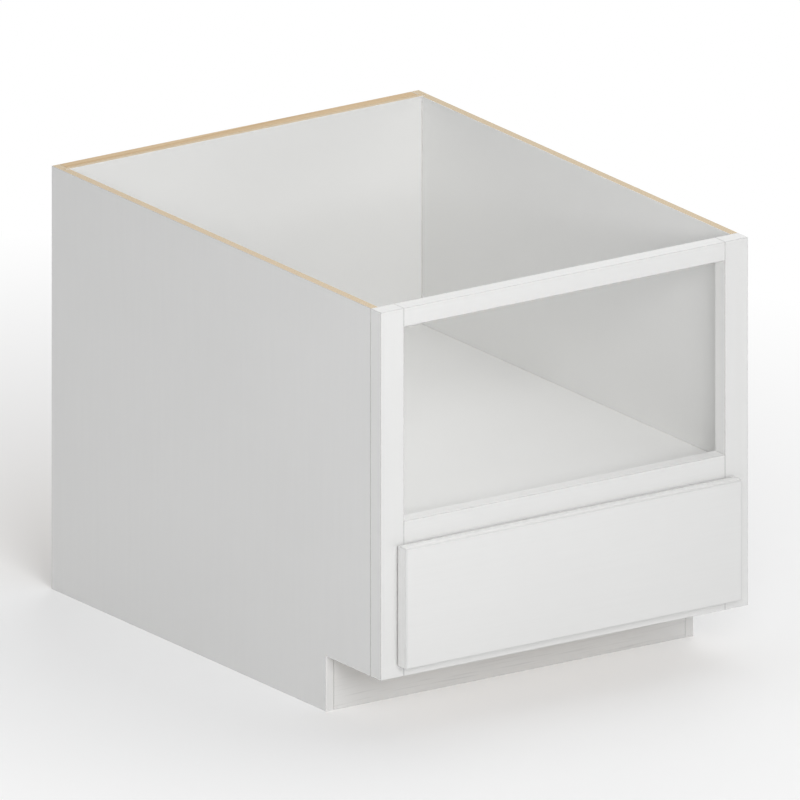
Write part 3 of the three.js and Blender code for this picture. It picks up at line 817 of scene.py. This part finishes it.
class CABINET_OT_staples(bpy.types.Operator):
    """Drives staples through the back panel and the hanging rails"""

    bl_idname = "cabinet.staples"
    bl_label = "Staples"

    def execute(self, context):
        fittings = context.scene.cabinet_fittings
        material = zinc_plate("zinc_staples", context.scene.cabinet_finishes)
        proud, flush, margin = 0.0003, 0.00001, 0.03
        rows = {"shelf": (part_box("back_panel")[1].y + proud, [middle_of("microwave_shelf").z])}
        for node in ("upper_hanging_rail", "lower_hanging_rail"):
            low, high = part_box(node)
            inset = (high.z - low.z) / 4
            rows[node] = (high.y + flush, [low.z + inset, high.z - inset])
        half = outer_face("upper_hanging_rail") - margin
        count = math.floor(2 * half / fittings.staple_spacing)
        for name, (face, heights) in rows.items():
            shape = bmesh.new()
            for row, height in enumerate(heights):
                for index in range(count + 1):
                    x = -half + 2 * half * index / count
                    lean = math.radians(9.0) * math.sin(7.0 * index + 4.0 * row + face * 50.0)
                    self.staple(shape, fittings, Vector((x, face, height)), lean)
            object_from(f"staples_{name}", shape, "carcass", material)
        return {"FINISHED"}

    def staple(self, shape, fittings, place, lean):
        """A bent flat wire with two legs in the wood, rounded shoulders and its crown at a place."""
        half, wire = fittings.staple_crown / 2, fittings.staple_wire / 2
        thick, bend, sunk = 0.0004, 0.0010, 0.004
        angles = (1.57, 1.05, 0.52, 0.0)
        shoulder = [(half - bend + bend * math.sin(a), -bend + bend * math.cos(a)) for a in angles]
        outer = [(half, -sunk)] + shoulder
        outer += [(-x, depth) for x, depth in reversed(outer)]
        turn = Matrix.Rotation(lean, 3, "Y")
        rings = []
        for index, (x, depth) in enumerate(outer):
            before, after = outer[max(index - 1, 0)], outer[min(index + 1, len(outer) - 1)]
            along = Vector((after[0] - before[0], after[1] - before[1])).normalized()
            inner_x, inner_depth = x - along.y * thick, depth + along.x * thick
            section = [(x, depth, -wire), (x, depth, wire)]
            section += [(inner_x, inner_depth, wire), (inner_x, inner_depth, -wire)]
            rings.append([shape.verts.new(place + turn @ Vector((u, v, w))) for u, v, w in section])
        lofted(shape, rings)


class CABINET_OT_slides(bpy.types.Operator):
    """Coats the rails, runners and sockets and makes the rollers"""

    bl_idname = "cabinet.slides"
    bl_label = "Roller Slides"

    def execute(self, context):
        finishes = context.scene.cabinet_finishes
        coat, plating = coated_steel("epoxy_steel", finishes), zinc_plate("zinc_steel", finishes)
        plastic, moulding = nylon("roller_nylon", finishes), socket_plastic("socket_plastic", finishes)
        moulded_edge = 0.0005
        for side, _ in SIDES:
            for node in (f"{side}_cabinet_rail", f"{side}_drawer_runner"):
                finish_solid(node, coat, STEEL / 4)
            finish_solid(f"{side}_rear_socket", moulding, moulded_edge)
            for end in ("front", "rear"):
                dress(f"{side}_{end}_axle", plating)
                self.roller(f"{side}_{end}_roller", plastic)
        return {"FINISHED"}

    def roller(self, node, material):
        """A roller with a grooved tread, a thin web and a hub, in the space of its solid."""
        low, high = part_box(node)
        radius, half = (high.z - low.z) / 2, (high.x - low.x) / 2
        bore, hub, rim, draft = 0.0028, 0.0050, radius - 0.0030, 0.0003
        web, edge_round, groove = half * 0.62, 0.0009, 0.0006
        right = [(bore, half), (hub, half), (hub + draft, web), (rim - draft, web), (rim, half)]
        right += arc((radius - edge_round, half - edge_round), edge_round, 90.0, 0.0, 4)
        right += [(radius, half * 0.34), (radius - groove, half * 0.14)]
        profile = right + [(r, -h) for r, h in reversed(right)]
        piece = object_from(node + "_moulding", turned(profile, 64), node, material)
        piece.data.transform(Matrix.Translation(middle_of(node)) @ Matrix.Rotation(math.pi / 2, 4, "Y"))
        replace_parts(piece, node)


class CABINET_OT_drawer_box(bpy.types.Operator):
    """Eases and lacquers the dovetailed drawer box"""

    bl_idname = "cabinet.drawer_box"
    bl_label = "Drawer Box"

    def execute(self, context):
        finishes = context.scene.cabinet_finishes
        sanded_edge = 0.0003
        axes = {"front": "x", "back": "x", "left": "y", "right": "y"}
        boards = {f"drawer_box_{wall}": axis for wall, axis in axes.items()} | {"drawer_bottom": "y"}
        for seed, (node, axis) in enumerate(boards.items()):
            coat = maple(f"maple_{node}", axis, finishes, 3.7 * seed + 1.3)
            finish_solid(node, coat, sanded_edge)
        return {"FINISHED"}


class CABINET_OT_drawer_front(bpy.types.Operator):
    """Makes the slab drawer front with rounded face edges"""

    bl_idname = "cabinet.drawer_front"
    bl_label = "Drawer Front"

    def execute(self, context):
        finishes, fittings = context.scene.cabinet_finishes, context.scene.cabinet_fittings
        low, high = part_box("drawer_front")
        shape = bmesh.new()
        bmesh.ops.create_cube(shape, size=1.0)
        for vertex in shape.verts:
            vertex.co = [far if place > 0 else near for place, near, far in zip(vertex.co, low, high)]
        self.round_edges(shape, low.y, fittings.front_round, 6)
        self.round_edges(shape, high.y, fittings.eased_edge, 2)
        # The drawer front's lacquer gets painted shade on its rounded edges.
        coat = painted("lacquer_drawer_front", "x", (low, high), finishes, 17.3, edges=painted_edge_shade)
        piece = object_from("drawer_front_slab", shape, "drawer", coat, 40.0)
        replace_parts(piece, "drawer_front")
        return {"FINISHED"}

    def round_edges(self, shape, face, radius, segments):
        """Rounds the slab's edges that lie at one y."""
        edges = [edge for edge in shape.edges if all(abs(v.co.y - face) < 1e-6 for v in edge.verts)]
        options = {"offset_type": "OFFSET", "profile": 0.5, "affect": "EDGES", "clamp_overlap": True}
        bmesh.ops.bevel(shape, geom=edges, offset=radius, segments=segments, **options)


class CABINET_OT_screws(bpy.types.Operator):
    """Puts in the screws of the drawer front, rails, sockets and runners"""

    bl_idname = "cabinet.screws"
    bl_label = "Screws"

    def execute(self, context):
        fittings = context.scene.cabinet_fittings
        self.plating = zinc_plate("zinc_screws", context.scene.cabinet_finishes)
        pan = screw_mesh("pan_screw", fittings.pan_head / 2, **PAN_SCREW)
        truss = screw_mesh("truss_screw", fittings.truss_head / 2, **TRUSS_SCREW)
        wafer = screw_mesh("wafer_screw", fittings.wafer_head / 2, **WAFER_SCREW)
        self.drawer_front_screws(pan)
        for side, out in SIDES:
            self.rail_screws(truss, side, out)
            self.socket_screws(truss, side, out)
            self.runner_screws(wafer, side, out)
        return {"FINISHED"}

    def drive(self, name, mesh, place, direction, body):
        """Seats a screw at a place, with its head towards a direction."""
        return placed(name, mesh, pointing(place, direction), body, self.plating)

    def drawer_front_screws(self, mesh):
        for corner in CORNERS:
            node = f"drawer_front_screw_{corner}"
            middle, rear = middle_of(node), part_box(node)[1].y
            place = (middle.x, rear - SCREW_HEAD_HEIGHT, middle.z)
            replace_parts(self.drive(node + "_pan", mesh, place, (0, 1, 0), "drawer"), node)

    def rail_screws(self, mesh, side, out):
        inside = outer_face(f"{side}_cabinet_rail") - STEEL
        place = (out * inside, middle_of(f"{side}_stile").y, middle_of(f"{side}_front_roller").z)
        self.drive(f"rail_screw_{side}", mesh, place, (-out, 0, 0), "carcass")

    def socket_screws(self, mesh, side, out):
        node = f"{side}_rear_socket"
        x, top = outer_face(node) - SOCKET_PLATE_WIDTH / 2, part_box(node)[1]
        drops = {"upper": SOCKET_HOLE_INSET, "lower": SOCKET_PLATE_RISE - SOCKET_HOLE_INSET}
        for level, drop in drops.items():
            place = (out * x, top.y - SOCKET_PLATE, top.z - drop)
            self.drive(f"socket_screw_{side}_{level}", mesh, place, (0, -1, 0), "carcass")

    def runner_screws(self, mesh, side, out):
        low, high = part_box(f"{side}_drawer_runner")
        web = outer_face(f"drawer_box_{side}") + GLUE_GAP + STEEL
        inset, height = 0.05, high.z - STEEL - 0.0039
        for index, y in enumerate((low.y + inset, (low.y + high.y) / 2, high.y - inset)):
            place = (out * web, y, height)
            self.drive(f"runner_screw_{side}_{index + 1}", mesh, place, (out, 0, 0), "drawer")


class CABINET_OT_bumpers(bpy.types.Operator):
    """Makes the domed vinyl bumpers behind the drawer front"""

    bl_idname = "cabinet.bumpers"
    bl_label = "Bumpers"

    def execute(self, context):
        material = vinyl("bumper_vinyl", context.scene.cabinet_finishes)
        for corner in CORNERS:
            node = f"bumper_{corner}"
            low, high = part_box(node)
            shape = self.dome((high.x - low.x) / 2, high.y - low.y)
            piece = object_from(node + "_dome", shape, "drawer", material)
            middle = middle_of(node)
            piece.data.transform(pointing((middle.x, low.y, middle.z), (0, 1, 0)))
            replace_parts(piece, node)
        return {"FINISHED"}

    def dome(self, radius, height):
        """A pad with upright sides for the lower third of its height, and a rounded crown."""
        side, angles = 0.35, (0.0, 0.3, 0.65, 1.0, 1.3)
        crown = [(radius * math.cos(a), height * (side + (1.0 - side) * math.sin(a))) for a in angles]
        return turned([(0.0, 0.0), (radius, 0.0)] + crown + [(0.0, height)])


class CABINET_OT_studio(bpy.types.Operator):
    """Sets up the floor, lamps, sky and camera"""

    bl_idname = "cabinet.studio"
    bl_label = "Studio"

    def execute(self, context):
        studio = context.scene.cabinet_studio
        context.scene.view_settings.view_transform = "Standard"
        self.floor(studio)
        self.sky(context, studio)
        for name, (place, target, size) in LAMPS.items():
            lamp = self.lamp(f"{name}_lamp", place, target, size, getattr(studio, f"{name}_power"))
            lamp.visible_glossy = name != "rear"
        self.camera(context, studio)
        return {"FINISHED"}

    def floor(self, studio):
        """A wide floor that the camera sees fade to white, with the cabinet's shadow kept."""
        near, far, least = 0.45, 1.45, 0.28
        mesh = bpy.data.meshes.new("studio_floor")
        corners = [(x * studio.floor_half, y * studio.floor_half, 0.0) for x, y in SQUARE]
        mesh.from_pydata(corners, [], [range(4)])
        floor = linked("studio_floor", mesh)
        shader = Shader("studio_floor")
        mesh.materials.append(shader.finish(studio.floor, 0.9))
        glow = shader.made("ShaderNodeEmission", WHITE)
        seen = shader.background_rays()
        distance = shader.add("ShaderNodeVectorMath", operation="LENGTH")
        shader.feed(distance.inputs[0], shader.place)
        fade = shader.span(distance.outputs["Value"], near, far, least, 1.0)
        surface = shader.surface.outputs["BSDF"]
        shader.feed(shader.output, shader.made("ShaderNodeMixShader", seen * fade, surface, glow))

    def sky(self, context, studio):
        """Even light, seen as white by the camera and in reflections."""
        world = bpy.data.worlds.new("studio_sky")
        context.scene.world = world
        world.use_nodes = True
        nodes = Nodes(world.node_tree)
        light = nodes.made("ShaderNodeBackground", SKY_TINT, studio.sky)
        white = nodes.made("ShaderNodeBackground", WHITE)
        mixed = nodes.made("ShaderNodeMixShader", nodes.background_rays(), light, white)
        nodes.put(nodes.add("ShaderNodeOutputWorld"), Surface=mixed)

    def lamp(self, name, place, target, size, watts):
        """A round lamp at a place, aimed at a target."""
        light = bpy.data.lights.new(name, "AREA")
        light.shape = "DISK"
        light.size = size
        light.energy = watts
        lamp = linked(name, light)
        lamp.matrix_world = pointing(place, Vector(place) - Vector(target))
        return lamp

    def camera(self, context, studio):
        """The drawing's own projection: parallel lines stay parallel, with the upright edges upright.

        The drawing is a parallel projection with a skewed picture plane, so the camera is orthographic
        and hangs on a rig that skews it."""
        low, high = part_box("left_end_panel")[0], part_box("right_end_panel")[1]
        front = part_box("left_stile")[0].y
        width, depth, height = high.x - low.x, high.y - front, high.z
        per_metre = PHOTO_HEIGHT / height
        across = Vector((PHOTO_WIDTH[0] / width, PHOTO_DEPTH[0] / depth, 0.0))
        upward = Vector((PHOTO_WIDTH[1] / width, PHOTO_DEPTH[1] / depth, per_metre))
        sight = across.cross(upward).normalized()
        if sight.y < 0.0:
            sight.negate()
        # plain moves a point straight to the right in the picture. Along the sight nothing moves there,
        # so that is where the rest of the axis's unit length goes.
        plain = across * (upward.dot(upward)) - upward * (across.dot(upward))
        plain *= per_metre / plain.dot(across)
        right = plain + sight * math.sqrt(1.0 - plain.length_squared)
        up = Vector((0.0, 0.0, 1.0))
        from_corner = (PHOTO_SIZE / 2 - PHOTO_CORNER[0], PHOTO_CORNER[1] - PHOTO_SIZE / 2)
        corner = Vector((low.x, front, height))
        middle = corner + (right * from_corner[0] + up * from_corner[1]) / per_metre
        place = middle - sight * studio.camera_distance
        rows = [[right[i], up[i], -sight[i], place[i]] for i in range(3)] + [[0.0, 0.0, 0.0, 1.0]]
        lens = bpy.data.cameras.new("drawing_camera")
        lens.type = "ORTHO"
        lens.ortho_scale = PHOTO_SIZE / per_metre
        lens.clip_end = 40.0
        rig = linked("drawing_camera_rig", None)
        camera = linked("drawing_camera", lens)
        camera.parent = rig
        camera.matrix_parent_inverse = Matrix(rows)
        context.scene.camera = camera


class CABINET_PT_panel(bpy.types.Panel):
    """Lists the cabinet's steps and settings"""

    bl_label = "Microwave Cabinet"
    bl_idname = "CABINET_PT_panel"
    bl_space_type = "VIEW_3D"
    bl_region_type = "UI"
    bl_category = "Cabinet"

    def draw(self, context):
        for operator in OPERATORS:
            self.layout.operator(operator.bl_idname)
        for name in GROUPS:
            group = getattr(context.scene, name)
            box = self.layout.box()
            for key in group.bl_rna.properties.keys():
                if key not in ("rna_type", "name"):
                    box.prop(group, key)


OPERATORS = (
    CABINET_OT_studio,
    CABINET_OT_face_frame,
    CABINET_OT_carcass,
    CABINET_OT_glue_beads,
    CABINET_OT_staples,
    CABINET_OT_slides,
    CABINET_OT_drawer_box,
    CABINET_OT_drawer_front,
    CABINET_OT_screws,
    CABINET_OT_bumpers,
)
GROUPS = {
    "cabinet_finishes": CabinetFinishes,
    "cabinet_fittings": CabinetFittings,
    "cabinet_studio": CabinetStudio,
}


def register():
    for entry in (*GROUPS.values(), *OPERATORS, CABINET_PT_panel):
        bpy.utils.register_class(entry)
    for name, group in GROUPS.items():
        setattr(bpy.types.Scene, name, bpy.props.PointerProperty(type=group))


def unregister():
    for name in GROUPS:
        delattr(bpy.types.Scene, name)
    for entry in reversed((*GROUPS.values(), *OPERATORS, CABINET_PT_panel)):
        bpy.utils.unregister_class(entry)


def main():
    """Builds the whole scene."""
    register()
    bpy.ops.cabinet.studio()
    bpy.ops.cabinet.face_frame()
    bpy.ops.cabinet.carcass()
    bpy.ops.cabinet.glue_beads()
    bpy.ops.cabinet.staples()
    bpy.ops.cabinet.slides()
    bpy.ops.cabinet.drawer_box()
    bpy.ops.cabinet.drawer_front()
    bpy.ops.cabinet.screws()
    bpy.ops.cabinet.bumpers()


if __name__ == "__main__":
    main()
